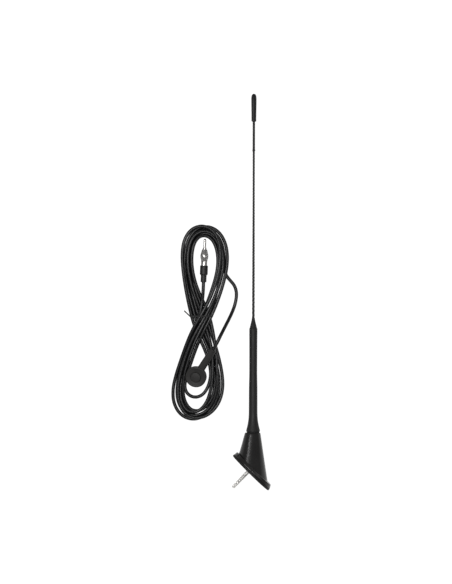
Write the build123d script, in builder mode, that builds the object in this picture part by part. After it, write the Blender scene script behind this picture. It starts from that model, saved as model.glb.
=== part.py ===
from build123d import *
from math import asin, cos, degrees, pi, radians, sin, tan
import os

# A rod antenna for a car roof, lying on its side on a table with its loose lead beside it.
# Millimetres.  +Y runs along the mast towards its tip, +Z is up from the table.
# The antenna's foot rests on the rim of its gasket and the mast rests on its tip cap.

os.makedirs("parts", exist_ok=True)

# ---------------------------------------------------------------- driving dimensions

# Mast.  Stations along the mast are measured from the top face of the foot.
seal_thickness = 1.4
sleeve_top = 138.0
rod_foot = 14.0
rod_end = 402.0
jacket_joint = 341.0
cap_foot = 377.0
cap_length = 34.0
cap_widest = 27.0                  # height of the cap's widest section above its foot
cap_radius = 3.25
cap_foot_radius = 2.9
rod_radius = 0.9
lower_wire_radius = 1.1
upper_wire_radius = 1.25
jacket_foot_radius = 1.65
jacket_joint_radius = 1.35
upper_jacket_radius = 1.58
ferrule_radius = 3.4
ferrule_top = 42.0
coil_foot = 46.0
coil_top = 118.0
coil_form_radius = 2.3
coil_radius = 2.9
sleeve_radius = 4.95
sleeve_waist_radius = 4.55
sleeve_flare_radius = 8.2

# M5 threads: pitch for the record, radius for every plain thread stand-in.
thread_radius = 2.5
thread_clearance = 0.05
mast_stud_engagement = 12.0

# Foot.  Its seat is the gasket's underside, which lies on the roof.
rake = 44.0                        # between the mast and the seat's normal, degrees
axis_drop = 51.5                   # from the foot's top face to the seat, along the mast
axis_to_toe = 3.2                  # from the seat's middle to the mast axis, towards the toe
foot_top_radius = 8.8
seat_half_length = 29.3
seat_half_width = 23.5
gasket_thickness = 2.8
flange_thickness = 4.4
flange_top_half_length = 27.7
flange_top_half_width = 22.2
flange_top_shift = -1.25           # the toe's side is drafted, the heel's side hardly is
cone_half_length = 22.55
cone_half_width = 17.5
cone_shift = -2.7
wall = 2.6
insert_radius = 4.5
insert_foot = -20.0
plate_thickness = 3.0
plate_gap = 0.15
ledge = 0.8                        # the base plate seats against it inside the foot
collar_radius = 5.8
screw_places = [(9.4, 0.0), (-13.0, 9.0), (-13.0, -9.0)]
screw_radius = 1.1
screw_length = 8.0
stud_shift = -4.3                  # the roof stud stands on the heel side of the middle
stud_reach = 27.4
shoulder_radius = 2.9              # plain shoulder of the stud, pressed into the base plate
thread_run_in = 0.2                # the thread ends this far above the seat, in the collar's mouth
stud_head_height = 3.4

# Lead: a 4 mm coaxial cable between a disc terminal and a plug.
cable_radius = 2.0
terminal_centre = (-66.7, -104.3)
terminal_heading = 57.7            # of the strain relief, from +X, degrees
terminal_pitch = 15.0              # the relief climbs over the cable under it
terminal_radius = 12.75
terminal_half_height = 4.0
relief_root = 10.8
relief_tip = 41.0
plug_foot = (-57.7, 10.5, 5.0)
plug_heading = -2.0
boot_neck = 8.9
boot_length = 20.2
barrel_tip = 39.8
pin_tip = 52.7
pin_radius = 1.6
bundle_height = 8.4
waist_height = 13.0
waist_y = -30.8
hump_half_length = 52.0
tie_width = 1.8
tie_thickness = 0.9


def write(piece, name):
    """Label a finished sub-part and write its STEP file."""
    piece.part.label = name
    export_step(piece.part, f"parts/{name}.step")


# ---------------------------------------------------------------- where the antenna lies

# The mast dips from the foot's height, set by the seat's half width, to the cap's radius.
seat_middle = (-axis_to_toe * cos(radians(rake)), axis_to_toe * sin(radians(rake)) - axis_drop)
cap_station = cap_foot + cap_widest
mast_dip = degrees(asin((seat_half_width - cap_radius) / (cap_station - seat_middle[1])))
foot_height = cap_radius + cap_station * sin(radians(mast_dip)) + 0.065
mast_lean = 0.2
foot_x = 2.264
foot_y = -170.614

lying = Location((foot_x, foot_y, foot_height), (-mast_dip, 0, -mast_lean))

# x of mast_plane is a radius towards the toe, y runs along the mast, z is up.
mast_plane = Plane(lying)
mast_axis = Axis(mast_plane.origin, mast_plane.y_dir)

# x of seat_plane runs towards the toe, z is the seat's normal, into the foot.
seat_plane = Plane(
    lying * Location((*seat_middle, 0), (0, 0, -rake)) * Location((0, 0, 0), (-90, 0, 0))
)
flange_top_plane = seat_plane.offset(gasket_thickness + flange_thickness)
plate_top = gasket_thickness + plate_thickness


def across_mast(station):
    """The plane square to the mast at a station, with its normal towards the tip."""
    return Plane(lying * Location((0, station, 0), (-90, 0, 0)))


def mast_section(*profile):
    """A closed profile of (radius, station) points on the mast's plane."""
    with BuildSketch(mast_plane) as section:
        with BuildLine():
            Polyline(*profile, close=True)
        make_face()
    return section.sketch


# ---------------------------------------------------------------- mast

with BuildPart() as fibreglass_rod:
    section = mast_section((0, rod_foot), (rod_radius, rod_foot), (rod_radius, rod_end), (0, rod_end))
    revolve(section, axis=mast_axis)
write(fibreglass_rod, "fibreglass_rod")

# The fine helical winding under the jacket is held as a thin tube.
with BuildPart() as lower_winding:
    section = mast_section(
        (rod_radius, coil_top + 2),
        (lower_wire_radius, coil_top + 2),
        (lower_wire_radius, jacket_joint),
        (rod_radius, jacket_joint),
    )
    revolve(section, axis=mast_axis)
write(lower_winding, "lower_winding")

with BuildPart() as upper_winding:
    section = mast_section(
        (rod_radius, jacket_joint),
        (upper_wire_radius, jacket_joint),
        (upper_wire_radius, rod_end - 2),
        (rod_radius, rod_end - 2),
    )
    revolve(section, axis=mast_axis)
write(upper_winding, "upper_winding")

with BuildPart() as lower_jacket:
    section = mast_section(
        (lower_wire_radius, coil_top + 2),
        (jacket_foot_radius, coil_top + 2),
        (jacket_foot_radius, sleeve_top + 40),
        (jacket_joint_radius, jacket_joint - 35),
        (jacket_joint_radius, jacket_joint),
        (lower_wire_radius, jacket_joint),
    )
    revolve(section, axis=mast_axis)
write(lower_jacket, "lower_jacket")

# The upper jacket starts in a small rolled lip.
lip_radius = upper_jacket_radius + 0.3
with BuildPart() as upper_jacket:
    section = mast_section(
        (upper_wire_radius, jacket_joint),
        (lip_radius, jacket_joint),
        (lip_radius, jacket_joint + 1.2),
        (upper_jacket_radius, jacket_joint + 2.0),
        (upper_jacket_radius, rod_end - 6),
        (upper_wire_radius, rod_end - 6),
    )
    revolve(section, axis=mast_axis)
write(upper_jacket, "upper_jacket")

# Tip cap: a blind moulding, rounded at both ends and widest near its tip.
cap_tip = cap_foot + cap_length
with BuildPart() as tip_cap:
    with BuildSketch(mast_plane):
        with BuildLine():
            foot_round = Line((upper_jacket_radius, cap_foot), (cap_foot_radius - 0.8, cap_foot))
            RadiusArc(foot_round @ 1, (cap_foot_radius, cap_foot + 0.9), -0.9)
            side = Line((cap_foot_radius, cap_foot + 0.9), (cap_radius, cap_station))
            crown = Spline(
                side @ 1,
                (cap_radius * 0.83, cap_tip - 2.2),
                (0, cap_tip),
                tangents=[side % 1, (-1, 0)],
            )
            Polyline(
                crown @ 1,
                (0, rod_end),
                (rod_radius, rod_end),
                (rod_radius, rod_end - 2),
                (upper_wire_radius, rod_end - 2),
                (upper_wire_radius, rod_end - 6),
                (upper_jacket_radius, rod_end - 6),
                (upper_jacket_radius, cap_foot),
            )
        make_face()
    revolve(axis=mast_axis)
write(tip_cap, "tip_cap")

# Ferrule: joins the rod to the threaded stud and spreads the load inside the flare.
ferrule_foot = seal_thickness + 1.0
with BuildPart() as mast_ferrule:
    section = mast_section(
        (thread_radius, ferrule_foot),
        (5.6, ferrule_foot),
        (5.6, ferrule_foot + 3.6),
        (ferrule_radius, ferrule_foot + 5.0),
        (ferrule_radius, ferrule_top),
        (rod_radius, ferrule_top),
        (rod_radius, rod_foot),
        (thread_radius, rod_foot - 2),
    )
    revolve(section, axis=mast_axis)
write(mast_ferrule, "mast_ferrule")

with BuildPart() as mast_stud:
    stud_r = thread_radius - thread_clearance
    section = mast_section(
        (0, -mast_stud_engagement),
        (stud_r - 0.6, -mast_stud_engagement),
        (stud_r, 0.6 - mast_stud_engagement),
        (stud_r, ferrule_foot),
        (thread_radius, ferrule_foot),
        (thread_radius, rod_foot - 2.2),
        (0, rod_foot - 2.2),
    )
    revolve(section, axis=mast_axis)
write(mast_stud, "mast_stud")

with BuildPart() as coil_form:
    section = mast_section(
        (rod_radius, coil_foot),
        (coil_form_radius, coil_foot),
        (coil_form_radius, coil_top),
        (rod_radius, coil_top),
    )
    revolve(section, axis=mast_axis)
write(coil_form, "coil_form")

with BuildPart() as loading_coil:
    section = mast_section(
        (coil_form_radius, coil_foot + 2),
        (coil_radius, coil_foot + 2),
        (coil_radius, coil_top - 2),
        (coil_form_radius, coil_top - 2),
    )
    revolve(section, axis=mast_axis)
write(loading_coil, "loading_coil")

# Sleeve: flared foot, slim grip, stepped cone and a short neck where the rod comes out.
with BuildPart() as mast_sleeve:
    with BuildSketch(mast_plane):
        with BuildLine():
            base = Line((5.7, seal_thickness), (sleeve_flare_radius - 0.7, seal_thickness))
            RadiusArc(base @ 1, (sleeve_flare_radius, seal_thickness + 0.8), -0.8)
            flare = Spline(
                (sleeve_flare_radius, seal_thickness + 0.8),
                (7.55, 4.7),
                (6.05, 11.6),
                (5.25, 18.0),
                (sleeve_radius + 0.02, 25.0),
            )
            grip = Spline(
                flare @ 1,
                (sleeve_radius, 52.0),
                (sleeve_waist_radius, 74.0),
                (4.62, 100.0),
                (4.73, 124.6),
            )
            Polyline(
                grip @ 1,
                (4.3, 126.2),
                (3.75, 128.6),
                (2.15, 135.6),
                (1.85, 136.0),
                (1.85, sleeve_top),
                (jacket_foot_radius, sleeve_top),
                (jacket_foot_radius, coil_top + 2),
                (rod_radius, coil_top + 2),
                (rod_radius, coil_top),
                (coil_form_radius, coil_top),
                (coil_form_radius, coil_top - 2),
                (coil_radius, coil_top - 2),
                (coil_radius, coil_foot + 2),
                (coil_form_radius, coil_foot + 2),
                (coil_form_radius, coil_foot),
                (rod_radius, coil_foot),
                (rod_radius, ferrule_top),
                (ferrule_radius, ferrule_top),
                (ferrule_radius, ferrule_foot + 5.0),
                (5.6, ferrule_foot + 3.6),
                (5.6, seal_thickness + 0.1),
                (5.7, seal_thickness),
            )
        make_face()
    revolve(axis=mast_axis)
write(mast_sleeve, "mast_sleeve")

# Seal ring between the sleeve and the foot.
with BuildPart() as mast_seal:
    section = mast_section(
        (2.9, 0.02),
        (7.7, 0.02),
        (8.15, 0.35),
        (8.15, seal_thickness - 0.35),
        (7.7, seal_thickness - 0.02),
        (2.9, seal_thickness - 0.02),
    )
    revolve(section, axis=mast_axis)
write(mast_seal, "mast_seal")

# ---------------------------------------------------------------- foot

cavity_plane = across_mast(insert_foot - 2.5)
with BuildPart() as foot_housing:
    # flange, drafted from the gasket to its top face
    with BuildSketch(seat_plane.offset(gasket_thickness)):
        Ellipse(seat_half_length - 0.4, seat_half_width - 0.4)
    with BuildSketch(flange_top_plane):
        with Locations((flange_top_shift, 0)):
            Ellipse(flange_top_half_length, flange_top_half_width)
    loft()
    rim = flange_top_plane.origin
    fillet(faces().sort_by(Axis(rim, flange_top_plane.z_dir))[-1].edges(), radius=1.2)
    # raked cone up to the mast, between two ellipses, the upper one round to 0.01 mm
    with BuildSketch(flange_top_plane.offset(-0.5)):
        with Locations((cone_shift, 0)):
            Ellipse(cone_half_length, cone_half_width)
    with BuildSketch(across_mast(0)):
        Ellipse(foot_top_radius, foot_top_radius - 0.01)
    loft()
    # hollow for the contact strip and the stud's head
    with BuildSketch(seat_plane.offset(plate_top)):
        with Locations((cone_shift, 0)):
            Ellipse(cone_half_length - wall - ledge, cone_half_width - wall - ledge)
    with BuildSketch(cavity_plane):
        Ellipse(foot_top_radius + 3.4 - wall, foot_top_radius + 3.39 - wall)
    loft(mode=Mode.SUBTRACT)
    # pocket for the base plate
    with BuildSketch(seat_plane.offset(gasket_thickness)):
        with Locations((cone_shift, 0)):
            Ellipse(cone_half_length - wall, cone_half_width - wall)
    extrude(amount=plate_thickness, mode=Mode.SUBTRACT)
    # bosses for the screws of the base plate
    with BuildSketch(seat_plane.offset(plate_top)):
        with Locations(*screw_places):
            Circle(2.9)
    extrude(amount=7.0)
    # bore for the brass insert
    with BuildSketch(across_mast(1)):
        Circle(insert_radius)
    extrude(amount=insert_foot - 4, mode=Mode.SUBTRACT)
    with BuildSketch(seat_plane.offset(plate_top)):
        with Locations(*screw_places):
            Circle(screw_radius)
    extrude(amount=screw_length - plate_thickness, mode=Mode.SUBTRACT)
write(foot_housing, "foot_housing")

with BuildPart() as foot_insert:
    section = mast_section(
        (thread_radius, -0.6),
        (insert_radius, -0.6),
        (insert_radius, insert_foot),
        (1.5, insert_foot),
        (thread_radius, insert_foot + 1.0),
    )
    revolve(section, axis=mast_axis)
write(foot_insert, "foot_insert")

# Base plate: closes the foot, with a collar that stands in the gasket and the roof's hole.
with BuildPart() as base_plate:
    with BuildSketch(seat_plane.offset(gasket_thickness)):
        with Locations((cone_shift, 0)):
            Ellipse(cone_half_length - wall - plate_gap, cone_half_width - wall - plate_gap)
    extrude(amount=plate_thickness)
    with BuildSketch(seat_plane.offset(0.2)):
        with Locations((stud_shift, 0)):
            Circle(collar_radius)
    extrude(amount=gasket_thickness)
    with BuildSketch(seat_plane):
        with Locations((stud_shift, 0)):
            Circle(shoulder_radius)
    extrude(amount=plate_top + 1, mode=Mode.SUBTRACT)
    with BuildSketch(seat_plane.offset(gasket_thickness)):
        with Locations(*screw_places):
            Circle(screw_radius)
    extrude(amount=plate_thickness, mode=Mode.SUBTRACT)
    with BuildSketch(seat_plane.offset(gasket_thickness)):
        with Locations(*screw_places):
            Circle(2.1)
    extrude(amount=1.2, mode=Mode.SUBTRACT)
write(base_plate, "base_plate")

with BuildPart() as base_screws:
    with BuildSketch(seat_plane.offset(gasket_thickness + 0.1)):
        with Locations(*screw_places):
            Circle(2.1)
    extrude(amount=1.1)
    with BuildSketch(seat_plane.offset(gasket_thickness + 1.2)):
        with Locations(*screw_places):
            Circle(screw_radius)
    extrude(amount=screw_length - 2.2)
    with BuildSketch(seat_plane.offset(gasket_thickness + 0.1)):
        with Locations(*screw_places):
            Rectangle(2.6, 0.5)
            Rectangle(0.5, 2.6)
    extrude(amount=0.6, mode=Mode.SUBTRACT)
write(base_screws, "base_screws")

with BuildPart() as gasket:
    with BuildSketch(seat_plane):
        Ellipse(seat_half_length, seat_half_width)
        with Locations((stud_shift, 0)):
            Circle(collar_radius + 0.1, mode=Mode.SUBTRACT)
    extrude(amount=gasket_thickness)
    outer_edges = edges().sort_by(SortBy.LENGTH)[-2:]
    fillet(outer_edges, radius=0.7)
write(gasket, "gasket")

with BuildPart() as stud_washer:
    with BuildSketch(seat_plane.offset(plate_top)):
        with Locations((stud_shift, 0)):
            Circle(5.2)
            Circle(shoulder_radius, mode=Mode.SUBTRACT)
    extrude(amount=0.8)
write(stud_washer, "stud_washer")

with BuildPart() as base_stud:
    with BuildSketch(seat_plane.offset(-stud_reach)):
        with Locations((stud_shift, 0)):
            Circle(thread_radius)
    extrude(amount=stud_reach + thread_run_in)
    stud_foot = Axis(seat_plane.origin, seat_plane.z_dir)
    chamfer(faces().sort_by(stud_foot)[0].edges(), length=0.8)
    with BuildSketch(seat_plane.offset(thread_run_in)):
        with Locations((stud_shift, 0)):
            Circle(shoulder_radius)
    extrude(amount=plate_top + 1 - thread_run_in)
    with BuildSketch(seat_plane.offset(plate_top + 0.8)):
        with Locations((stud_shift, 0)):
            RegularPolygon(radius=4.0, side_count=6, major_radius=False)
    extrude(amount=stud_head_height)
write(base_stud, "base_stud")

# Contact strip: a bent brass spring from the stud's head up to the insert's end.
head_top = plate_top + 0.8 + stud_head_height


def on_seat(along, height):
    """A point of the seat's mid-plane, in the mast plane's x and y."""
    turn = radians(rake)
    return (
        seat_middle[0] + along * cos(turn) + height * sin(turn),
        seat_middle[1] - along * sin(turn) + height * cos(turn),
    )


strip_thickness = 0.5
with BuildPart() as contact_strip:
    with BuildSketch(mast_plane):
        with BuildLine():
            FilletPolyline(
                on_seat(stud_shift - 3.0, head_top + strip_thickness / 2),
                on_seat(stud_shift + 4.5, head_top + strip_thickness / 2),
                (5.2, insert_foot - 8.0),
                (2.5, insert_foot - strip_thickness / 2),
                (-3.0, insert_foot - strip_thickness / 2),
                radius=0.8,
            )
        trace(line_width=strip_thickness)
    extrude(amount=2.5, both=True)
write(contact_strip, "contact_strip")

# ---------------------------------------------------------------- lead: disc terminal

# x of terminal_plane runs along the strain relief, z is the disc's axis, up.
terminal_lift = terminal_radius * sin(radians(terminal_pitch))
terminal_lift += terminal_half_height * cos(radians(terminal_pitch))
terminal_place = Location((*terminal_centre, terminal_lift + 0.05), (0, 0, terminal_heading))
terminal_plane = Plane(terminal_place * Location((0, 0, 0), (0, -terminal_pitch, 0)))


def across_relief(distance):
    """The plane square to the strain relief, facing along the cable."""
    return Plane(terminal_plane.location * Location((distance, 0, 0.1), (0, 90, 0)))


cap_base = -3.0
cap_top = 3.3
cap_inside = 1.6
with BuildPart() as terminal_cap:
    with BuildSketch(terminal_plane.offset(cap_base)):
        Circle(terminal_radius)
    extrude(amount=cap_top - cap_base)
    fillet(faces().sort_by(Axis(terminal_plane.origin, terminal_plane.z_dir))[-1].edges(), 1.1)
    with BuildSketch(terminal_plane.offset(cap_top - 0.1)):
        Circle(5.7)
    extrude(amount=0.8)
    fillet(faces().sort_by(Axis(terminal_plane.origin, terminal_plane.z_dir))[-1].edges(), 0.3)
    with BuildSketch(terminal_plane.offset(cap_base)):
        Circle(terminal_radius - 1.6)
    extrude(amount=cap_inside - cap_base, mode=Mode.SUBTRACT)
    with BuildSketch(across_relief(relief_root - 0.8)):
        Rectangle(4.4, 7.6)
    extrude(amount=3.5, mode=Mode.SUBTRACT)
write(terminal_cap, "terminal_cap")

# The relief starts as a flat tongue in the cap's wall and tapers to a round blunt tip.
with BuildPart() as strain_relief:
    with BuildSketch(across_relief(terminal_radius - 1.2)):
        RectangleRounded(6.2, 9.2, 2.6)
    with BuildSketch(across_relief((terminal_radius + relief_tip) / 2)):
        RectangleRounded(7.4, 8.8, 3.5)
    with BuildSketch(across_relief(relief_tip)):
        Circle(4.0)
    loft()
    fillet(faces().sort_by(Axis(terminal_plane.origin, terminal_plane.x_dir))[-1].edges(), 1.0)
    with BuildSketch(terminal_plane):
        Circle(terminal_radius)
    extrude(amount=terminal_radius, both=True, mode=Mode.SUBTRACT)
    with BuildSketch(across_relief(relief_root - 0.8)):
        Rectangle(4.4, 7.6)
    extrude(amount=terminal_radius - relief_root + 1.2)
    with BuildSketch(across_relief(relief_root - 2)):
        Circle(cable_radius)
    extrude(amount=relief_tip, mode=Mode.SUBTRACT)
write(strain_relief, "strain_relief")

with BuildPart() as terminal_insulator:
    with BuildSketch(terminal_plane.offset(cap_base)):
        Circle(terminal_radius - 1.7)
        Circle(4.0, mode=Mode.SUBTRACT)
    extrude(amount=0.9)
write(terminal_insulator, "terminal_insulator")

with BuildPart() as terminal_bush:
    with BuildSketch(terminal_plane.offset(-terminal_half_height + 0.1)):
        Circle(3.95)
    extrude(amount=terminal_half_height + cap_inside - 0.6)
    with BuildSketch(terminal_plane.offset(cap_base + 0.95)):
        RegularPolygon(radius=5.0, side_count=8)
    extrude(amount=1.0)
    with BuildSketch(terminal_plane.offset(-terminal_half_height)):
        Circle(thread_radius + thread_clearance)
    extrude(amount=terminal_half_height, mode=Mode.SUBTRACT)
write(terminal_bush, "terminal_bush")

# Ground ring: bites into the underside of the roof with a circle of teeth.
tooth_count = 16
with BuildPart() as ground_ring:
    with BuildSketch(terminal_plane.offset(cap_base - 0.75)):
        Circle(terminal_radius - 0.5)
        Circle(8.0, mode=Mode.SUBTRACT)
    extrude(amount=0.7)
    with BuildSketch(terminal_plane.offset(-terminal_half_height + 0.05)):
        with PolarLocations(10.3, tooth_count):
            Rectangle(2.6, 1.0, rotation=20)
    extrude(amount=0.4)
write(ground_ring, "ground_ring")

with BuildPart() as core_wire:
    with BuildSketch(across_relief(5.3)):
        Circle(0.45)
    extrude(amount=relief_root - 0.9 - 5.3)
write(core_wire, "core_wire")

# ---------------------------------------------------------------- lead: plug

# x of plug_plane is a radius, y runs along the plug from the cable to the pin's tip.
plug_plane = Plane(Location(plug_foot, (0, 0, plug_heading)))
plug_axis = Axis(plug_plane.origin, plug_plane.y_dir)


def plug_section(*profile):
    """A closed profile of (radius, station) points on the plug's plane."""
    with BuildSketch(plug_plane) as section:
        with BuildLine():
            Polyline(*profile, close=True)
        make_face()
    return section.sketch


boot_bore_end = 12.0
with BuildPart() as plug_boot:
    section = plug_section(
        (cable_radius, 0),
        (3.2, 0),
        (3.55, 0.4),
        (3.55, boot_neck - 0.6),
        (4.8, boot_neck + 0.7),
        (4.8, boot_length - 0.3),
        (4.5, boot_length),
        (3.65, boot_length),
        (3.65, boot_bore_end),
        (cable_radius, boot_bore_end),
    )
    revolve(section, axis=plug_axis)
write(plug_boot, "plug_boot")

# Barrel: a sprung tube, bulged where its slotted fingers grip the socket.
finger_wall = 0.5
bulge_profile = [(3.65, 24.0), (4.1, 27.0), (4.9, 32.4), (3.75, 37.4), (3.1, barrel_tip)]
with BuildPart() as plug_barrel:
    with BuildSketch(plug_plane):
        with BuildLine():
            Line((3.65, 17.0), bulge_profile[0])
            bulge = Spline(*bulge_profile, tangents=[(0, 1), (-0.5, 1)])
            tip_line = Line(bulge @ 1, (3.1 - finger_wall, barrel_tip))
            inside = Spline(
                *[(r - finger_wall, s) for r, s in reversed(bulge_profile)],
                tangents=[(0.5, -1), (0, -1)],
            )
            Polyline(inside @ 1, (3.15, 17.0), (3.65, 17.0))
        make_face()
    revolve(axis=plug_axis)
    for slot_turn in (45, -45):
        slot_plane = Plane(plug_plane.location * Location((0, 0, 0), (0, slot_turn, 0)))
        with BuildSketch(slot_plane):
            with Locations((0, (25.5 + barrel_tip + 1) / 2)):
                Rectangle(12, barrel_tip + 1 - 25.5)
        extrude(amount=0.4, both=True, mode=Mode.SUBTRACT)
write(plug_barrel, "plug_barrel")

with BuildPart() as plug_insulator:
    section = plug_section((0.8, 18.0), (3.15, 18.0), (3.15, 23.5), (2.4, 24.5), (2.4, 39.0), (0.8, 39.0))
    revolve(section, axis=plug_axis)
write(plug_insulator, "plug_insulator")

with BuildPart() as plug_pin:
    section = plug_section(
        (0, 15.0),
        (0.8, 15.0),
        (0.8, 39.0),
        (2.2, 39.0),
        (2.2, 41.8),
        (pin_radius, 42.2),
        (pin_radius, pin_tip - 1.6),
        (1.3, pin_tip - 0.7),
        (0.7, pin_tip),
        (0, pin_tip),
    )
    revolve(section, axis=plug_axis)
write(plug_pin, "plug_pin")

with BuildPart() as crimp_ferrule:
    section = plug_section((cable_radius, 12.0), (3.1, 12.0), (3.1, 17.9), (cable_radius, 17.9))
    revolve(section, axis=plug_axis)
write(crimp_ferrule, "crimp_ferrule")

# ---------------------------------------------------------------- lead: cable


def bend_radii(route):
    """The largest arc that each corner's two runs allow."""
    radii = []
    for before, corner, after in zip(route, route[1:], route[2:]):
        run_in = Vector(*corner) - Vector(*before)
        run_out = Vector(*after) - Vector(*corner)
        half_turn = radians(run_in.get_angle(run_out)) / 2
        radii.append(0.45 * min(run_in.length, run_out.length) / tan(half_turn))
    return radii


def cable_tube(route, name):
    """A plain tube of the cable along a route, checked against section times length."""
    radii = bend_radii(route)
    with BuildPart() as tube:
        with BuildLine() as path:
            FilletPolyline(*route, radius=radii)
        with BuildSketch(Plane(origin=path.line @ 0, z_dir=path.line % 0)):
            Circle(cable_radius)
        sweep()
    length = path.wires()[0].length
    whole = tube.part.volume / (pi * cable_radius**2 * length)
    print(name, "length", round(length, 1), "fill", round(whole, 4))
    print(name, "radii", [round(r, 1) for r in radii])
    write(tube, name)


# Out of the strain relief, over the bundle's edge, down to the table and round to the hank.
relief_start = across_relief(relief_root - 0.8).origin
relief_end = across_relief(relief_tip + 5.0).origin
lead_tail_route = [
    tuple(relief_start),
    tuple(relief_end),
    (-36.4, -53.0, 18.2),
    (-30.7, -42.0, 11.6),
    (-25.4, -31.8, 5.2),
    (-20.8, -21.4, 2.1),
    (-18.0, -11.4, 2.0),
    (-17.3, -1.4, 2.0),
    (-20.2, 7.2, 2.0),
    (-26.4, 13.8, 2.0),
    (-34.0, 18.8, 2.0),
]
cable_tube(lead_tail_route, "lead_tail")

# Out of the plug's boot, down the middle of the upper loop and into the waist.
plug_tail_route = [
    (-57.29, 22.3, 5.0),
    (-57.9, 4.8, 5.0),
    (-58.1, -4.4, 5.6),
    (-59.2, -12.4, 7.6),
]
cable_tube(plug_tail_route, "plug_tail")

# Hank: the outer shape of a figure-of-eight bundle, low at its ends, high at its waist.
hank_outline = [
    (-59.5, 79.5),
    (-45.5, 76.1),
    (-34.0, 68.2),
    (-27.6, 54.2),
    (-26.5, 40.9),
    (-29.4, 21.6),
    (-41.0, -10.1),
    (-46.0, -28.4),
    (-43.7, -54.4),
    (-34.6, -90.2),
    (-31.6, -109.7),
    (-33.4, -129.9),
    (-40.1, -143.9),
    (-51.6, -153.4),
    (-64.8, -156.4),
    (-78.8, -153.0),
    (-89.8, -145.4),
    (-94.9, -130.4),
    (-92.3, -113.3),
    (-83.4, -83.4),
    (-75.0, -53.4),
    (-73.1, -28.4),
    (-75.4, -6.4),
    (-82.2, 21.6),
    (-82.9, 40.9),
    (-80.7, 56.7),
    (-75.3, 68.8),
    (-67.8, 77.0),
]
upper_opening = [
    (-57.7, 64.1),
    (-49.4, 60.2),
    (-44.7, 50.6),
    (-44.0, 39.6),
    (-46.0, 26.6),
    (-51.4, 10.6),
    (-60.1, -7.7),
    (-65.2, 5.6),
    (-69.4, 23.6),
    (-70.4, 42.6),
    (-67.8, 55.0),
    (-63.4, 61.6),
]
lower_opening = [
    (-61.3, -59.9),
    (-55.2, -77.4),
    (-52.0, -93.4),
    (-51.8, -107.4),
    (-54.8, -124.4),
    (-60.8, -137.4),
    (-67.4, -141.9),
    (-75.3, -135.4),
    (-80.2, -122.4),
    (-81.0, -108.4),
    (-78.6, -95.4),
    (-71.8, -77.4),
]
with BuildPart() as cable_hank:
    with BuildSketch():
        with BuildLine():
            Spline(*hank_outline, periodic=True)
        make_face()
        with BuildLine():
            Spline(*upper_opening, periodic=True)
        make_face(mode=Mode.SUBTRACT)
        with BuildLine():
            Spline(*lower_opening, periodic=True)
        make_face(mode=Mode.SUBTRACT)
    extrude(amount=waist_height)
    # side view: the height of the bundle along the hank
    with BuildSketch(Plane.YZ):
        with BuildLine():
            hump = Spline(
                (waist_y - hump_half_length, bundle_height),
                (waist_y, waist_height),
                (waist_y + hump_half_length, bundle_height),
                tangents=[(1, 0), (1, 0), (1, 0)],
            )
            Polyline(hump @ 1, (120, bundle_height), (120, 0), (-200, 0))
            Polyline((-200, 0), (-200, bundle_height), hump @ 0)
        make_face()
    extrude(amount=150, both=True, mode=Mode.INTERSECT)
write(cable_hank, "cable_hank")

# Tie: a thin band round the waist, its ends twisted into a short tail.
waist_centre = -59.5
waist_width = 28.4
with BuildPart() as cable_tie:
    with BuildSketch(Plane.XZ.offset(-waist_y)):
        with Locations((waist_centre, (waist_height + tie_thickness) / 2)):
            RectangleRounded(waist_width, waist_height + tie_thickness, 4.0)
            RectangleRounded(
                waist_width - 2 * tie_thickness,
                waist_height - tie_thickness,
                3.2,
                mode=Mode.SUBTRACT,
            )
    extrude(amount=tie_width / 2, both=True)
    tail_root = (waist_centre - waist_width / 2 + 0.6, waist_y, 8.0)
    with BuildSketch(Plane(origin=tail_root, z_dir=(-0.72, 0.66, 0.2))):
        Circle(0.6)
    extrude(amount=5.6)
write(cable_tie, "cable_tie")

print("dip", round(mast_dip, 3), "foot height", round(foot_height, 3))
print("seat origin", tuple(round(v, 3) for v in seat_plane.origin))
print("seat normal", tuple(round(v, 5) for v in seat_plane.z_dir))
print("seat x", tuple(round(v, 5) for v in seat_plane.x_dir))
print("mast axis", tuple(round(v, 5) for v in mast_plane.y_dir))
print("plug axis", tuple(round(v, 5) for v in plug_plane.y_dir))
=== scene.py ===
"""Looks for the roof antenna and its loose lead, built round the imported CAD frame.

Places and sizes are in metres; profiles, routes and whatever is multiplied by MM are in millimetres.
"""

import bpy
import numpy as np
from math import cos, pi, radians, sin
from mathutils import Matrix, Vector


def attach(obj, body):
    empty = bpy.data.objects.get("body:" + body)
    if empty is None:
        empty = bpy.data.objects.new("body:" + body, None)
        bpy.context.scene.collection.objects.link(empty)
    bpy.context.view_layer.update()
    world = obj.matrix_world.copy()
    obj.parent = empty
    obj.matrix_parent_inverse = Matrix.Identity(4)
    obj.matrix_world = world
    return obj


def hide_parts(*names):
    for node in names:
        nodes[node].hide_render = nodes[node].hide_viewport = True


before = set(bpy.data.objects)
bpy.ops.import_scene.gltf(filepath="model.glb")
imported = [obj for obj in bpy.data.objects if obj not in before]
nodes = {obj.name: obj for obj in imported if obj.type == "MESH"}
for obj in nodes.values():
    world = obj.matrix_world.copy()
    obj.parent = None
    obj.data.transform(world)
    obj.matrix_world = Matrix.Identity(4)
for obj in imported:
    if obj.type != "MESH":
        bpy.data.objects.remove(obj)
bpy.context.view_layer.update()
MM = 0.001

# ------------------------------------------------------------------ materials

SPECULAR = 0.2
FINE_SHARE = 0.4  # of the fine grain in colour and roughness; the rest is broad blotches
COLOUR_SPAN = (0.32, 0.68)  # the noise at which the colour is fully dark and fully light
ROUGH_SPAN = (0.3, 0.7)  # the noise at which the surface is least and most rough
GRAIN_STRENGTH = 0.6
WAVE_STRENGTH = 0.5


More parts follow.
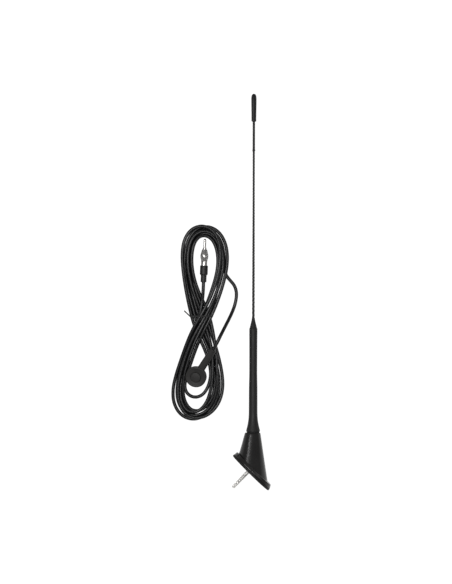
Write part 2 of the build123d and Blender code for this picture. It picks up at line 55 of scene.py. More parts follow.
def surface(name, dark, light, rough, blotch, grain, grain_depth, metallic=0.0, stretch=(1, 1, 1),
            waves=None):
    """A material whose colour, roughness and height all vary: broad blotches and a fine grain.

    blotch and grain are noise scales; waves is the (depth, scale) of a slow unevenness under the grain.
    """
    mat = bpy.data.materials.new(name)
    mat.use_nodes = True
    tree = mat.node_tree
    link = tree.links.new
    shader = tree.nodes["Principled BSDF"]
    shader.inputs["Metallic"].default_value = metallic
    shader.inputs["Specular IOR Level"].default_value = SPECULAR
    place = tree.nodes.new("ShaderNodeTexCoord")
    mapping = tree.nodes.new("ShaderNodeMapping")
    mapping.inputs["Scale"].default_value = stretch
    link(place.outputs["Object"], mapping.inputs["Vector"])

    def noise(scale, detail, roughness=0.55):
        node = tree.nodes.new("ShaderNodeTexNoise")
        node.inputs["Scale"].default_value = scale
        node.inputs["Detail"].default_value = detail
        node.inputs["Roughness"].default_value = roughness
        link(mapping.outputs["Vector"], node.inputs["Vector"])
        return node.outputs["Fac"]

    def bump(height, distance, strength):
        node = tree.nodes.new("ShaderNodeBump")
        node.inputs["Strength"].default_value = strength
        node.inputs["Distance"].default_value = distance
        link(height, node.inputs["Height"])
        return node

    fine = noise(grain, detail=3, roughness=0.7)
    mixed = tree.nodes.new("ShaderNodeMix")
    mixed.data_type = "FLOAT"
    share, broad_side, fine_side = mixed.inputs[0], mixed.inputs[2], mixed.inputs[3]
    share.default_value = FINE_SHARE
    link(noise(blotch, detail=4), broad_side)
    link(fine, fine_side)
    ramp = tree.nodes.new("ShaderNodeValToRGB")
    for stop, place_of_stop, colour in zip(ramp.color_ramp.elements, COLOUR_SPAN, (dark, light)):
        stop.position = place_of_stop
        stop.color = (*colour, 1)
    link(mixed.outputs[0], ramp.inputs["Fac"])
    link(ramp.outputs["Color"], shader.inputs["Base Color"])
    spread = tree.nodes.new("ShaderNodeMapRange")
    for socket, value in zip(("From Min", "From Max", "To Min", "To Max"), (*ROUGH_SPAN, *rough)):
        spread.inputs[socket].default_value = value
    link(mixed.outputs[0], spread.inputs["Value"])
    link(spread.outputs["Result"], shader.inputs["Roughness"])
    relief = bump(fine, grain_depth, GRAIN_STRENGTH)
    if waves:
        depth, scale = waves
        swell = bump(noise(scale, detail=2), depth, WAVE_STRENGTH)
        link(relief.outputs["Normal"], swell.inputs["Normal"])
        relief = swell
    link(relief.outputs["Normal"], shader.inputs["Normal"])
    return mat


# each material slot: dark and light colour, least and most roughness, and how the surface is broken up
LOOKS = {
    "cable_jacket": dict(dark=(0.0025, 0.0025, 0.0028), light=(0.005, 0.005, 0.0053), rough=(0.26, 0.36),
                         blotch=90, grain=1500, grain_depth=0.00003, waves=(0.0002, 120)),
    "sleeve_rubber": dict(dark=(0.0035, 0.0035, 0.0035), light=(0.0075, 0.0073, 0.0072), rough=(0.46, 0.6),
                          blotch=70, grain=1600, grain_depth=0.00006),
    "seal_rubber": dict(dark=(0.003, 0.003, 0.003), light=(0.007, 0.007, 0.007), rough=(0.55, 0.72),
                        blotch=110, grain=2200, grain_depth=0.00007),
    "foot_plastic": dict(dark=(0.006, 0.0057, 0.0056), light=(0.0095, 0.0091, 0.0089), rough=(0.18, 0.26),
                         blotch=45, grain=1900, grain_depth=0.00004),
    "terminal_plastic": dict(dark=(0.012, 0.0115, 0.011), light=(0.02, 0.019, 0.0185), rough=(0.42, 0.56),
                             blotch=130, grain=2000, grain_depth=0.00006),
    "relief_rubber": dict(dark=(0.011, 0.0105, 0.01), light=(0.018, 0.017, 0.0165), rough=(0.44, 0.58),
                          blotch=130, grain=2000, grain_depth=0.00006),
    "shrink_tube": dict(dark=(0.0035, 0.0035, 0.0035), light=(0.0075, 0.0075, 0.0075), rough=(0.3, 0.42),
                        blotch=140, grain=1700, grain_depth=0.00003),
    "soft_plastic": dict(dark=(0.0035, 0.0035, 0.004), light=(0.0075, 0.0075, 0.008), rough=(0.34, 0.48),
                         blotch=80, grain=1500, grain_depth=0.00004),
    "boot_plastic": dict(dark=(0.004, 0.004, 0.004), light=(0.009, 0.009, 0.009), rough=(0.36, 0.5),
                         blotch=120, grain=2100, grain_depth=0.00004),
    "tie_plastic": dict(dark=(0.009, 0.009, 0.009), light=(0.018, 0.018, 0.018), rough=(0.36, 0.5),
                        blotch=200, grain=2500, grain_depth=0.00004),
    "nickel_plate": dict(dark=(0.22, 0.215, 0.21), light=(0.32, 0.31, 0.30), rough=(0.2, 0.3),
                         blotch=160, grain=2600, grain_depth=0.00002, metallic=1.0),
    "zinc_steel": dict(dark=(0.8, 0.79, 0.77), light=(0.88, 0.87, 0.85), rough=(0.28, 0.36),
                       blotch=200, grain=2400, grain_depth=0.00003, metallic=1.0),
    "brass_part": dict(dark=(0.56, 0.38, 0.14), light=(0.68, 0.48, 0.2), rough=(0.22, 0.36),
                       blotch=150, grain=2100, grain_depth=0.00003, metallic=1.0),
    "copper_wire": dict(dark=(0.52, 0.22, 0.11), light=(0.66, 0.3, 0.16), rough=(0.2, 0.32),
                        blotch=150, grain=2500, grain_depth=0.00004, metallic=1.0, stretch=(1, 6, 1)),
    "fibreglass": dict(dark=(0.5, 0.47, 0.38), light=(0.66, 0.62, 0.5), rough=(0.3, 0.45),
                       blotch=300, grain=1800, grain_depth=0.00005, stretch=(8, 1, 8)),
    "coil_former": dict(dark=(0.34, 0.31, 0.26), light=(0.46, 0.42, 0.36), rough=(0.4, 0.55),
                        blotch=90, grain=1800, grain_depth=0.00004),
    "inner_plastic": dict(dark=(0.02, 0.02, 0.022), light=(0.035, 0.035, 0.038), rough=(0.4, 0.55),
                          blotch=100, grain=1800, grain_depth=0.00004),
    "white_insulator": dict(dark=(0.68, 0.67, 0.63), light=(0.8, 0.79, 0.75), rough=(0.35, 0.5),
                            blotch=150, grain=1900, grain_depth=0.00003),
}
finish_of = {slot: surface(slot, **look) for slot, look in LOOKS.items()}

# ------------------------------------------------------------------ mesh helpers


def unit(v):
    v = np.array(v, float)
    return v / np.linalg.norm(v)


def to_object(name, skinned, slot, body, replaces, sharp=32.0):
    """A piece from (points, faces): its finish, its body, the CAD nodes it replaces and its sharp edges."""
    points, faces = skinned
    mesh = bpy.data.meshes.new(name)
    mesh.from_pydata([tuple(p) for p in points], [], faces)
    mesh.validate()
    mesh.update()
    mesh.shade_smooth()
    mesh.set_sharp_from_angle(angle=radians(sharp))
    mesh.materials.append(finish_of[slot])
    obj = bpy.data.objects.new(name, mesh)
    bpy.context.scene.collection.objects.link(obj)
    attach(obj, body)
    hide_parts(*replaces)
    return obj


def ring_faces(count, steps, rings):
    """Faces from each ring of count points to the next; after the last of the rings comes the first."""
    faces = []
    for k in range(steps):
        a, b = k * count, (k + 1) % rings * count
        for i in range(count):
            j = (i + 1) % count
            faces.append((a + i, a + j, b + j, b + i))
    return faces


def skin(rings, hollow=False):
    """Faces between rings of equal count, capped at both ends, or led back to the first ring if hollow."""
    if hollow:
        rings = rings + [rings[0]]
    count, last = len(rings[0]), len(rings) - 1
    points = [p for ring in rings for p in ring]
    faces = ring_faces(count, last, len(rings))
    if not hollow:
        faces.append(tuple(range(count))[::-1])
        faces.append(tuple(last * count + i for i in range(count)))
    return points, faces


def lathe(profile, origin, axis, side, count, shape=None):
    """Rings of (radius, station) in mm about an axis; shape may change the radius by angle and station."""
    side = unit(np.array(side) - np.dot(side, axis) * axis)
    third = np.cross(axis, side)
    rings = []
    for r, s in profile:
        ring = []
        for i in range(count):
            a = 2 * pi * i / count
            radius = shape(r, s, a) if shape else r
            ring.append(np.array(origin) + MM * (s * axis + radius * (cos(a) * side + sin(a) * third)))
        rings.append(ring)
    return rings


def smooth_profile(keys, step):
    """(radius, station) every step along a cubic that joins (station, radius) keys without overshoot."""
    s = np.array([k[0] for k in keys], float)
    r = np.array([k[1] for k in keys], float)
    slope = np.zeros_like(r)
    d = np.diff(r) / np.diff(s)
    slope[0], slope[-1] = d[0], d[-1]
    for i in range(1, len(s) - 1):
        slope[i] = 0 if d[i - 1] * d[i] <= 0 else 2 * d[i - 1] * d[i] / (d[i - 1] + d[i])
    out = []
    for i in range(len(s) - 1):
        h = s[i + 1] - s[i]
        n = max(1, int(round(h / step)))
        for k in range(n):
            t = k / n
            from_start = (1 + 2 * t) * (1 - t) ** 2 * r[i] + t * (1 - t) ** 2 * h * slope[i]
            to_end = t * t * (3 - 2 * t) * r[i + 1] + t * t * (t - 1) * h * slope[i + 1]
            out.append((from_start + to_end, s[i] + t * h))
    out.append((r[-1], s[-1]))
    return out


# ------------------------------------------------------------------ mast

# where the mast stands on the foot, and the plane on which the foot stands on the roof
foot_top = np.array((0.002264, -0.170614, 0.021364))
mast_axis = unit((0.00349, 0.99900, -0.04467))
seat = np.array((-0.000210, -0.219834, 0.023565))
seat_x = unit((0.71691, -0.69647, 0.03115))
seat_n = unit((0.69717, 0.71619, -0.03203))
seat_y = np.cross(seat_n, seat_x)
mast_side = unit(seat_x - np.dot(seat_x, mast_axis) * mast_axis)


def mast_lathe(name, profile, slot, node, count, shape=None, sharp=32.0):
    rings = lathe(profile, foot_top, mast_axis, mast_side, count, shape)
    return to_object(name, skin(rings), slot, "mast", (node,), sharp)


# Rubber sleeve: a bell at its foot, a slim waist, and a collar that grips the rod.
sleeve_keys = [(2.2, 8.4), (4.7, 7.8), (8.0, 6.95), (11.6, 6.25), (18, 5.45), (25, 5.2), (38, 5.15),
               (52, 5.1), (74, 4.75), (100, 4.8), (124.2, 4.9), (125.2, 4.75), (126.4, 4.25),
               (128.6, 3.75), (135.0, 2.2), (136.4, 1.95), (138, 1.85)]
sleeve_mouth = [(7.2, 1.4), (8.05, 1.4), (8.32, 1.6), (8.42, 1.9)]
sleeve = sleeve_mouth + smooth_profile(sleeve_keys, 0.8)
mast_lathe("rubber_sleeve", sleeve, "sleeve_rubber", "mast_sleeve", 72)

# Seal ring between sleeve and foot: rounded outside, with a bore round the mast's stud.
seal_profile = [(2.75, 0.03), (7.3, 0.03), (7.62, 0.2), (7.75, 0.7), (7.62, 1.2), (7.3, 1.36), (2.75, 1.36)]
seal_rings = lathe(seal_profile, foot_top, mast_axis, mast_side, 72)
to_object("rubber_seal_ring", skin(seal_rings, hollow=True), "seal_rubber", "seal", ("mast_seal",))

# Heat-shrink over the wound rod: the wire's helix shows through as a soft rib.
wide_pitch, close_pitch = 5.5, 3.5
winding_start, closing_length = 136.0, 60.0
rib_sharpness, rib_middle = 2.2, 0.4
rib_step = 0.42


def winding_phase(s):
    """Turns of the helix up to a station: wide at the sleeve, then closing up to the close pitch."""
    t = np.clip((s - winding_start) / closing_length, 0, 1)
    mean = wide_pitch + (close_pitch - wide_pitch) * t / 2
    beyond = np.maximum(s - (winding_start + closing_length), 0)
    return np.minimum(s - winding_start, closing_length) / mean + beyond / close_pitch


def ribbed(depth):
    def shape(r, s, a):
        wave = 0.5 + 0.5 * cos(2 * pi * winding_phase(s) - a)
        return r + depth * (wave ** rib_sharpness - rib_middle)
    return shape


lower_keys = [(136.5, 1.55), (178, 1.52), (306, 1.33), (341.4, 1.35)]
upper_keys = [(340.6, 1.5), (341.0, 1.8), (341.8, 1.88), (342.3, 1.7), (343.0, 1.5), (378, 1.5)]
for name, keys, node, depth in (("ribbed_jacket", lower_keys, "lower_jacket", 0.26),
                                ("upper_ribbed_jacket", upper_keys, "upper_jacket", 0.12)):
    mast_lathe(name, smooth_profile(keys, rib_step), "shrink_tube", node, 24, ribbed(depth), 60)

# Tip cap: a moulded plug, slightly swollen, with a domed end and a rolled rim at its mouth.
cap_keys = [(377.0, 2.5), (377.25, 2.8), (377.9, 2.98), (378.8, 2.9), (385, 2.96), (395, 3.14), (404, 3.25),
            (407, 3.1), (409.2, 2.55), (410.5, 1.6), (411.0, 0.5)]
mast_lathe("tip_cap_moulding", smooth_profile(cap_keys, 0.5), "soft_plastic", "tip_cap", 40)

# ------------------------------------------------------------------ foot

OVAL_POINTS = 96
# the outline of the gasket and of the flange's lower edge: its middle along the seat, and its half sizes
EDGE_SHIFT, EDGE_LENGTH, EDGE_WIDTH = -1.1, 29.8, 23.5
STUD_SHIFT = -4.3


def oval(centre, a_vec, b_vec):
    angles = [2 * pi * i / OVAL_POINTS for i in range(OVAL_POINTS)]
    return [centre + cos(a) * a_vec + sin(a) * b_vec for a in angles]


def seat_ring(height, shift, half_length, half_width):
    """An oval parallel to the roof, at a height over the seat and shifted along it, in mm."""
    centre = seat + MM * (height * seat_n + shift * seat_x)
    return oval(centre, MM * half_length * seat_x, MM * half_width * seat_y)


def edge_rings(edge):
    """Ovals from (height, inset from the outline) in mm."""
    return [seat_ring(height, EDGE_SHIFT, EDGE_LENGTH - inset, EDGE_WIDTH - inset) for height, inset in edge]


# Gasket: a closed ring with soft edges; its hole stands clear of the base plate's collar.
gasket_edge = [(0.0, 9.0), (0.0, 0.7), (0.2, 0.2), (0.7, 0.0), (1.4, 0.15), (2.1, 0.0), (2.6, 0.2),
               (2.8, 0.7), (2.8, 9.0)]
hole_r = 5.95
hole = [seat_ring(height, STUD_SHIFT, hole_r, hole_r) for height in (2.8, 0.0)]
to_object("rubber_gasket", skin(edge_rings(gasket_edge) + hole, hollow=True), "seal_rubber", "foot",
          ("gasket",), 40)

# Foot: a low flange with a rolled edge, then an almost straight cone up to the mast, hollow inside.
flange_edge = [(2.8, 6.0), (2.8, 0.9), (3.0, 0.55), (3.5, 0.4)]
# the flange's side and its top, as height, shift, half length and half width
side_low, side_high = np.array((3.5, -1.1, 29.4, 23.1)), np.array((6.4, -1.8, 28.3, 22.35))
flange_top = [(7.22, -1.9, 26.8, 20.9), (7.3, -2.9, 24.9, 18.9)]
roll_r = 0.8
cone_base = seat + MM * (7.35 * seat_n - 3.4 * seat_x)
base_a, base_b = MM * 24.0 * seat_x, MM * 18.2 * seat_y
cone_top = foot_top - MM * 0.5 * mast_side
cone_steps, cone_bow = 32, 0.02
mast_across = np.cross(mast_axis, mast_side)
top_a, top_b = MM * 9.3 * mast_side, MM * 9.0 * mast_across
top_edge = [(1.0, -0.5), (0.984, -0.14), (0.94, 0.0)]  # share of the top's oval, height
bore_r, bore_depth = 5.2, 12.0


def foot_shell_rings():
    """The shell from the underside of its flange, over the cone's top and down into the mast's bore."""
    rings = edge_rings(flange_edge)
    rings += [seat_ring(*(side_low + t * (side_high - side_low))) for t in (0.25, 0.5, 0.75, 1.0)]
    for angle in (20, 40, 60, 80):
        up, inset = roll_r * sin(radians(angle)), roll_r * (1 - cos(radians(angle)))
        rings.append(seat_ring(*(side_high + (up, 0, -inset, -inset))))
    rings += [seat_ring(*ring) for ring in flange_top]
    for k in range(cone_steps):
        g = k / cone_steps
        h = g + cone_bow * sin(pi * g) * (1 - g)
        centre = (1 - g) * cone_base + g * cone_top
        rings.append(oval(centre, (1 - h) * base_a + h * top_a, (1 - h) * base_b + h * top_b))
    for share, height in top_edge:
        rings.append(oval(cone_top + MM * height * mast_axis, share * top_a, share * top_b))
    bore_a, bore_b = MM * bore_r * mast_side, MM * bore_r * mast_across
    rings += [oval(foot_top - MM * depth * mast_axis, bore_a, bore_b) for depth in (0.0, bore_depth)]
    return rings


to_object("foot_shell", skin(foot_shell_rings(), hollow=True), "foot_plastic", "foot", ("foot_housing",), 38)


# Roof stud: a real helical thread with V grooves and narrow flat crests, and a chamfered tip.
def thread(pitch, depth, tip, chamfer):
    steepness, chamfer_slope, least_r = 2.3, 0.9, 0.3

    def shape(r, s, a):
        phase = (s / pitch - a / (2 * pi)) % 1.0
        groove = depth * min(1.0, steepness * abs(phase - 0.5))
        inset = max(0.0, chamfer - abs(s - tip)) * chamfer_slope
        return max(r - depth + groove - inset, least_r)
    return shape


stud_r, stud_tip, stud_end, stud_step = 2.5, -27.4, 1.0, 0.1
stud_profile = [(stud_r, float(s)) for s in np.arange(stud_tip, stud_end, stud_step)]
stud_rings = lathe(stud_profile, seat + MM * STUD_SHIFT * seat_x, seat_n, seat_x, 32,
                   thread(pitch=0.8, depth=0.28, tip=stud_tip, chamfer=1.0))
to_object("threaded_roof_stud", skin(stud_rings), "zinc_steel", "foot", ("base_stud",), 50)

# ------------------------------------------------------------------ lead: terminal

# Cap of the roof terminal: a cup, open underneath, with a rounded rim, a recess and a boss in a groove.
terminal = np.array((-0.0667, -0.1043, 0.00721))
terminal_up = unit((-0.1383, -0.2188, 0.9659))
terminal_out = unit((0.5162, 0.8165, 0.2588))
rim_r, rim_centre, rim_height = 1.1, 11.65, 2.2
cup_inside = [(0.3, 1.6), (11.1, 1.6), (11.15, 1.5), (11.15, -2.8)]
cup_outside = [(11.3, -3.0), (12.6, -3.0), (12.75, -2.8), (12.75, 2.1)]
cup_rim = [(rim_centre + rim_r * cos(radians(a)), rim_height + rim_r * sin(radians(a)))
           for a in range(10, 91, 10)]
cup_recess = [(11.0, 3.25), (10.7, 3.05), (10.4, 2.95), (7.1, 2.95), (6.75, 2.8), (6.6, 2.3), (6.05, 2.2)]
cup_boss = [(5.9, 2.4), (5.85, 3.7), (5.7, 4.0), (5.4, 4.1), (0.3, 4.1)]
cup = cup_inside + cup_outside + cup_rim + cup_recess + cup_boss
cup_rings = lathe(cup, terminal, terminal_up, terminal_out, 72)
disc = to_object("terminal_cup", skin(cup_rings), "terminal_plastic", "lead", ("terminal_cap",), 40)

# ------------------------------------------------------------------ lead: cable

cable_r = 2.0
TURNS = 6
LANE_PITCH = 3.9
LAYER_HEIGHT = 4.0
# the middle of the bundle round one turn of the hank, in mm, in the order of the cable's travel
MIDDLE = [
    ("right_up", (-38.4, 13.0)), ("right_up", (-35.6, 27.0)), ("right_up", (-34.4, 41.0)),
    ("right_top", (-36.4, 55.0)), ("top_right", (-41.5, 67.1)),
    ("top", (-50.6, 73.0)), ("top", (-59.4, 73.8)),
    ("left_top", (-68.3, 69.7)), ("left_top", (-73.8, 60.0)),
    ("left_up", (-76.4, 46.8)), ("left_up", (-76.8, 33.0)), ("left_up", (-75.4, 18.6)),
    ("left_up", (-72.2, 2.8)),
    ("back_in", (-68.4, -10.0)), ("back_in", (-65.0, -21.0)),
    ("back", (-61.6, -32.0)), ("back", (-58.8, -42.5)),
    ("back_out", (-53.6, -56.5)), ("back_out", (-48.6, -69.5)),
    ("right_low", (-45.2, -84.5)), ("right_low", (-42.0, -99.5)), ("right_foot", (-40.6, -113.5)),
    ("right_foot", (-42.2, -127.0)),
    ("bottom_right", (-47.6, -139.6)), ("bottom", (-56.8, -148.6)), ("bottom", (-69.0, -152.0)),
    ("bottom_left", (-80.0, -147.6)),
    ("bottom_left", (-86.8, -134.8)), ("left_low", (-87.8, -119.6)), ("left_low", (-84.8, -103.4)),
    ("left_low", (-80.0, -87.4)), ("left_low", (-74.8, -71.4)),
    ("front_in", (-69.2, -56.4)),
    ("front", (-63.6, -43.4)), ("front", (-56.2, -30.4)),
    ("front_out", (-50.0, -17.4)), ("front_out", (-44.4, -4.2)),
]
# each of the six turns' lane, in cable widths to the right of its travel, and its layer
LANES = {
    "right_up": (0.4, -0.6, 1.2, -0.2, 0.6, -1.2), "right_top": (0.2, -0.9, 1.4, -0.8, 0.0, -1.6),
    "top_right": (0.1, 0.2, 2.1, -0.9, -0.1, -1.5),
    "top": (-0.1, 1.3, 1.0, -0.9, -0.3, -1.4), "left_top": (-0.3, 2.4, 0.3, -1.2, 0.0, -1.0),
    "left_up": (0.0, 1.2, 1.1, -1.0, 0.1, -1.0), "back_in": (0.5, 2.2, 1.4, -1.3, -0.5, -2.0),
    "back": (0.4, 2.7, 1.6, -2.2, -0.9, -3.5), "back_out": (0.1, 2.1, 1.0, -1.7, -0.6, -1.3),
    "right_low": (-0.9, 1.3, 0.2, -1.9, 0.8, -0.4), "right_foot": (-0.7, 1.4, 1.5, -1.8, 2.6, 0.6),
    "bottom_right": (-0.6, 2.6, 1.0, -1.7, 2.6, -0.4),
    "bottom": (-1.1, 2.6, 1.7, -0.3, 0.9, -1.2), "bottom_left": (-2.5, 2.0, 1.2, 0.2, 0.8, -0.1),
    "left_low": (-1.0, 1.1, 0.1, -0.5, 0.6, -0.2), "front_in": (-1.3, 1.5, 0.2, -0.4, 0.8, -0.1),
    "front": (-1.1, 1.9, 1.0, 0.3, -0.4, -1.2), "front_out": (-0.4, 1.2, 0.7, 0.5, -1.6, -1.0),
}
LAYERS = {
    "right_up": (0, 1, 0, 0, 1, 0), "right_top": (0, 1, 0, 0, 1, 0), "top_right": (0, 1, 0, 0, 1, 0),
    "top": (0, 1, 0, 0, 1, 0),
    "left_top": (0, 1, 0, 0, 1, 1), "left_up": (0, 1, 0, 0, 1, 1), "back_in": (0, 0.5, 0, 0, 0.5, 0.5),
    "back": (0, 0, 0, 0, 0, 0), "back_out": (0, 0, 0, 0, 0.7, 0.7), "right_low": (0, 0, 0, 0, 1, 1),
    "right_foot": (0, 0, 0, 0, 1, 1),
    "bottom_right": (0, 0, 1, 0, 1, 1), "bottom": (0, 0, 0, 1, 1, 0), "bottom_left": (0, 0, 0, 1, 1, 0),
    "left_low": (0, 0, 1, 1, 0, 0), "front_in": (1.4, 1, 1.8, 2, 0.6, 0.6),
    "front": (1.9, 1.2, 1.9, 2, 1, 1), "front_out": (1.8, 0.9, 0.8, 1.8, 0.8, 0.8),
}
# one turn cuts across the lower loop in an arc of its own, below the terminal
SHORT_TURN = 1
SHORT_CUT = {21: (-51.6, -112.0), 22: (-54.6, -120.0), 23: (-59.2, -125.8), 24: (-65.2, -128.9),
             25: (-71.4, -129.2), 26: (-77.2, -126.8), 27: (-81.4, -121.6), 28: (-83.4, -113.6)}
OUT_OF_RELIEF = [(-53.8, -83.89, 13.68), (-42.97, -66.76, 19.22), (-36.4, -53.0, 18.2), (-30.7, -42.0, 11.6),
                 (-25.4, -31.8, 5.2), (-20.8, -21.4, 2.1), (-18.0, -11.4, 2.0), (-17.3, -1.4, 2.0),
                 (-20.2, 7.2, 2.0), (-26.4, 13.8, 2.0), (-31.8, 20.0, 2.0)]
INTO_PLUG = [(-61.0, -30.0, 8.0), (-59.6, -20.0, 8.6), (-58.9, -11.0, 7.6), (-58.2, -3.0, 5.8),
             (-57.8, 5.4, 5.0), (-57.29, 22.3, 5.0)]
FREE_IN_TAIL = 2  # points at the end of OUT_OF_RELIEF that may move
HELD_AT_PLUG = 4  # points at the end of INTO_PLUG that may not
# stations that give way to the tail in the first turn, and to the run into the plug in the last
LEFT_TO_TAIL, LEFT_TO_PLUG = 1, 3

GAP = 3.98  # centre lines are pushed apart to this distance
ROUNDS = 200
NEARBY = 10  # pieces further apart than this and GAP together aren't compared
PUSH = 1.6  # more than half the overlap for each strand, so that they part sooner
SINK = 0.02  # how far the strands sink in each round
UPRIGHT = 0.3  # strands closer than this are pushed straight up
LANE_PASSES, SHIFT_PASSES = 4, 2


def smooth(values, keep):
    """Draws each value towards the mean of its two neighbours; the ends stay."""
    values[1:-1] = keep * values[1:-1] + (1 - keep) / 2 * (values[:-2] + values[2:])


def spline_weights(n):
    """The spline at each control point and half-way between, as weights on the control points."""
    weight = np.zeros((2 * n - 3, n))
    weight[0, 0] = weight[-1, -1] = 1
    for i in range(1, n - 1):
        weight[2 * i - 1, i - 1:i + 2] = (0.125, 0.75, 0.125)
    for i in range(1, n - 2):
        weight[2 * i, i:i + 2] = 0.5
    return weight


def closest(a, u, c, v):
    """Shares s and t of the pieces a + s u and c + t v at which they come closest."""
    w = a - c
    uu, uv, vv, uw, vw = [(p * q).sum(1) for p, q in ((u, u), (u, v), (v, v), (u, w), (v, w))]
    s = np.clip((uv * vw - vv * uw) / np.maximum(uu * vv - uv * uv, 1e-9), 0, 1)
    t = np.clip((uv * s + vw) / vv, 0, 1)
    return np.clip((uv * t - uw) / uu, 0, 1), t


def above_table(at, held):
    at[:, 2] = np.where(held, at[:, 2], np.maximum(at[:, 2], cable_r))


def settled(start, held):
    """Turns pushed apart until they only touch, lying on the table and on each other."""
    at = start.copy()
    weight = spline_weights(len(at))
    share = weight.sum(0)[:, None]
    first, second = np.triu_indices(len(weight) - 1, 3)
    free = (~held)[:, None]
    for _ in range(ROUNDS):
        line = weight @ at
        travel = np.concatenate([[0], np.cumsum(np.linalg.norm(np.diff(line, axis=0), axis=1))])
        mid = line[:-1] + line[1:]
        near = np.abs(mid[first] - mid[second]).max(1) < 2 * (NEARBY + GAP)
        near &= travel[second] - travel[first + 1] > 3 * GAP
        i, j = first[near], second[near]
        a, c = line[i], line[j]
        u, v = line[i + 1] - a, line[j + 1] - c
        s, t = closest(a, u, c, v)
        apart = (a + u * s[:, None]) - (c + v * t[:, None])
        distance = np.linalg.norm(apart, axis=1)
        hit = distance < GAP
        i, j, s, t, apart, distance = i[hit], j[hit], s[hit], t[hit], apart[hit], distance[hit]
        way = apart / np.maximum(distance, 1e-6)[:, None]
        way[distance < UPRIGHT] = (0, 0, 1)
        push = way * (0.5 * (GAP - distance))[:, None]
        move = np.zeros((len(weight), 3))
        pull = np.zeros(len(weight))
        for index, sign, part in ((i, 1, 1 - s), (i + 1, 1, s), (j, -1, 1 - t), (j + 1, -1, t)):
            np.add.at(move, index, sign * push * part[:, None])
            np.add.at(pull, index, part)
        move /= np.maximum(pull, 1)[:, None]
        at += free * (weight.T @ move) / share * PUSH
        shift = at - start
        for _ in range(SHIFT_PASSES):
            smooth(shift, keep=0.6)
        shift[:, 2] -= SINK
        at = start + shift * free
        above_table(at, held)
    return at


def eased(at, held):
    """Kinks drawn in, then let out again, so that the loops keep their size."""
    free = (~held)[:, None]
    for amount in (0.4, -0.42) * 3:
        ease = np.zeros_like(at)
        ease[1:-1] = amount * ((at[:-2] + at[2:]) / 2 - at[1:-1])
        at = at + ease * free
    above_table(at, held)
    return at


def over_all_turns(table):
    """A table's values station by station through all the turns, smoothed along the cable."""
    values = np.array([table[part][turn] for turn in range(TURNS) for part, _ in MIDDLE], float)
    for _ in range(LANE_PASSES):
        smooth(values, keep=0.5)
    return values


def hank_route():
    """The cable's control points in mm: out of the relief, round all the turns and into the plug."""
    middle = np.array([place for _, place in MIDDLE], float)
    ahead = np.roll(middle, -1, 0) - np.roll(middle, 1, 0)
    ahead /= np.linalg.norm(ahead, axis=1)[:, None]
    right_hand = np.stack([ahead[:, 1], -ahead[:, 0]], 1)
    lane, layer = over_all_turns(LANES), over_all_turns(LAYERS)
    points = list(OUT_OF_RELIEF)
    for i in range(LEFT_TO_TAIL, TURNS * len(MIDDLE) - LEFT_TO_PLUG):
        turn, station = divmod(i, len(MIDDLE))
        x, y = middle[station] + right_hand[station] * lane[i] * LANE_PITCH
        if turn == SHORT_TURN and station in SHORT_CUT:
            x, y = SHORT_CUT[station]
        points.append((x, y, cable_r + LAYER_HEIGHT * layer[i]))
    points += INTO_PLUG
    held = np.zeros(len(points), bool)
    held[:len(OUT_OF_RELIEF) - FREE_IN_TAIL] = True
    held[-HELD_AT_PLUG:] = True
    return eased(settled(np.array(points, float), held), held)


BEVEL = 1.05  # a cable a little thicker than nominal, raised so that it still lies on the table
LIFT = 0.1

route = hank_route()
curve = bpy.data.curves.new("coaxial_cable", "CURVE")
curve.dimensions = "3D"
spline = curve.splines.new("NURBS")
spline.points.add(len(route) - 1)
for point, (x, y, z) in zip(spline.points, route):
    point.co = (x * MM, y * MM, (z + LIFT) * MM, 1)
spline.order_u = 3
spline.use_endpoint_u = True
spline.resolution_u = 6
cable = bpy.data.objects.new("coaxial_cable", curve)
bpy.context.scene.collection.objects.link(cable)
bpy.context.view_layer.update()
# the cable's centre line, read before the curve gets its thickness
line_mesh = bpy.data.meshes.new_from_object(cable)
line = np.array([v.co for v in line_mesh.vertices])
bpy.data.meshes.remove(line_mesh)
curve.bevel_depth = BEVEL * cable_r * MM
curve.bevel_resolution = 5
curve.use_fill_caps = True
curve.materials.append(finish_of["cable_jacket"])
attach(cable, "lead")
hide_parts("cable_hank", "lead_tail", "plug_tail")

# ------------------------------------------------------------------ lead: tie

tie_y = -0.0308
bundle_right = -0.035  # strands further right than this aren't in the bundle
BAND_STEPS = 160
BAND_HALF_WIDTH, BAND_THICKNESS = 0.9 * MM, 0.42 * MM
# the band's section with a wire core: across in half widths, outwards in thicknesses
BAND_SECTION = [(-1.0, 0.35), (-0.9, 0.8), (-0.35, 0.85), (0.0, 1.35), (0.35, 0.85), (0.9, 0.8), (1.0, 0.35),
                (0.9, 0.0), (-0.9, 0.0)]
BAND_LOWEST = 0.2 * MM


def strands_at_waist():
    """(x, z) of each strand of the bundle in the tie's plane."""
    found = []
    for a, b in zip(line[:-1], line[1:]):
        if (a[1] - tie_y) * (b[1] - tie_y) <= 0 and a[0] < bundle_right:
            t = (tie_y - a[1]) / (b[1] - a[1] + 1e-12)
            found.append(((1 - t) * a + t * b)[[0, 2]])
    return np.array(found)


def tie_band():
    """A band drawn tight round the waist, following the strands it holds."""
    strands = strands_at_waist()
    points = []
    for k in range(BAND_STEPS):
        angle = 2 * pi * k / BAND_STEPS
        out = np.array((cos(angle), sin(angle)))
        held_strand = strands[np.argmax(strands @ out)]
        for across, height in BAND_SECTION:
            x, z = held_strand + (cable_r * MM + BAND_THICKNESS * height) * out
            points.append((x, tie_y + BAND_HALF_WIDTH * across, max(z, BAND_LOWEST)))
    return points, ring_faces(len(BAND_SECTION), BAND_STEPS, BAND_STEPS)


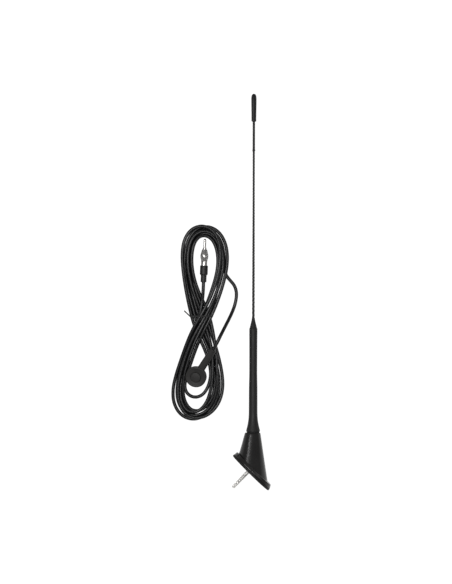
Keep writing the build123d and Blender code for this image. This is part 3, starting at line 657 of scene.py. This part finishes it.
TAIL_STEPS, TAIL_SIDES, TAIL_TURNS = 40, 8, 3.2
TAIL_LENGTH, TAIL_BOW, TAIL_SPREAD = 9.8 * MM, 1.2 * MM, 0.42 * MM
STRAND_HALF_WIDTH, STRAND_HALF_THICKNESS = 0.62 * MM, 0.36 * MM
TAIL_ROOT_INSET, TAIL_HEIGHT = 0.6 * MM, 6.2 * MM
TIP_SHARE, TIP_SIZE = 0.97, 0.75
tail_way = unit((-0.72, 0.69, 0.08))


def tail_strand(root, strand):
    """Rings of one of the tie's two ends, which twist round each other out to the left and back."""
    side_a = unit(np.cross(tail_way, (0, 0, 1)))
    side_b = np.cross(tail_way, side_a)
    rings = []
    angles = [2 * pi * i / TAIL_SIDES for i in range(TAIL_SIDES)]
    for k in range(TAIL_STEPS + 1):
        t = k / TAIL_STEPS
        turn = 2 * pi * TAIL_TURNS * t + pi * strand
        thick = cos(turn) * side_a + sin(turn) * side_b
        flat = -sin(turn) * side_a + cos(turn) * side_b
        bow = np.array((0, 0, TAIL_BOW * sin(pi * t)))
        centre = root + tail_way * TAIL_LENGTH * t + bow + TAIL_SPREAD * thick
        size = 1.0 if t < TIP_SHARE else TIP_SIZE
        wide, high = STRAND_HALF_WIDTH * flat, STRAND_HALF_THICKNESS * thick
        rings.append([centre + size * (cos(a) * wide + sin(a) * high) for a in angles])
    return rings


# the tie is one piece: its band and both strands of its tail
points, faces = tie_band()
tail_root = np.array((min(p[0] for p in points) + TAIL_ROOT_INSET, tie_y, TAIL_HEIGHT))
for strand in (0, 1):
    start = len(points)
    strand_points, strand_faces = skin(tail_strand(tail_root, strand))
    points += strand_points
    faces += [tuple(start + i for i in face) for face in strand_faces]
tie = to_object("twist_tie", (points, faces), "tie_plastic", "lead", ("cable_tie",), 40)

# ------------------------------------------------------------------ finish of the carried-over CAD pieces

for obj in nodes.values():
    for holder in obj.material_slots:
        slot = holder.material.name.split(".")[0]
        if slot in finish_of:
            holder.material = finish_of[slot]

# ------------------------------------------------------------------ stage, light, camera

WORLD_LIGHT = 0.45
FLOOR_HALF = 5
FLOOR_COLOUR, FLOOR_ROUGHNESS, FLOOR_GLOW = (0.12, 0.12, 0.12, 1), 0.9, 0.94
WHITE = (1, 1, 1, 1)
CAMERA_PLACE = (-0.0303, -0.0014, 1.55)
VIEW_HEIGHT = 0.7125  # how much of the table the picture shows from top to bottom
SENSOR = 36.0
LIT_SPOT = (0, -0.05, 0)

scene = bpy.context.scene
scene.view_settings.view_transform = "Standard"
scene.view_settings.look = "None"
world = bpy.data.worlds.new("white_studio")
world.use_nodes = True
world.node_tree.nodes["Background"].inputs["Color"].default_value = WHITE
world.node_tree.nodes["Background"].inputs["Strength"].default_value = WORLD_LIGHT
scene.world = world

floor_mesh = bpy.data.meshes.new("floor")
corners = [(x * FLOOR_HALF, y * FLOOR_HALF, 0) for x, y in ((-1, -1), (1, -1), (1, 1), (-1, 1))]
floor_mesh.from_pydata(corners, [], [(0, 1, 2, 3)])
floor = bpy.data.objects.new("floor", floor_mesh)
scene.collection.objects.link(floor)
floor_mat = bpy.data.materials.new("white_floor")
floor_mat.use_nodes = True
paper = floor_mat.node_tree.nodes["Principled BSDF"]
paper.inputs["Base Color"].default_value = FLOOR_COLOUR
paper.inputs["Roughness"].default_value = FLOOR_ROUGHNESS
paper.inputs["Emission Color"].default_value = WHITE
paper.inputs["Emission Strength"].default_value = FLOOR_GLOW
floor_mesh.materials.append(floor_mat)


def softbox(name, place, size, power):
    light = bpy.data.lights.new(name, "AREA")
    light.shape = "RECTANGLE"
    light.size, light.size_y = size
    light.energy = power
    obj = bpy.data.objects.new(name, light)
    obj.location = place
    obj.rotation_euler = (Vector(LIT_SPOT) - Vector(place)).to_track_quat("-Z", "Y").to_euler()
    scene.collection.objects.link(obj)


softbox("top_softbox", place=(-0.32, 0.1, 1.3), size=(0.28, 1.3), power=17)
softbox("right_strip", place=(0.75, -0.1, 1.1), size=(0.2, 1.3), power=2)

camera_data = bpy.data.cameras.new("camera")
camera_data.sensor_width = SENSOR
camera_data.lens = SENSOR * CAMERA_PLACE[2] / VIEW_HEIGHT
camera = bpy.data.objects.new("camera", camera_data)
camera.location = CAMERA_PLACE
scene.collection.objects.link(camera)
scene.camera = camera
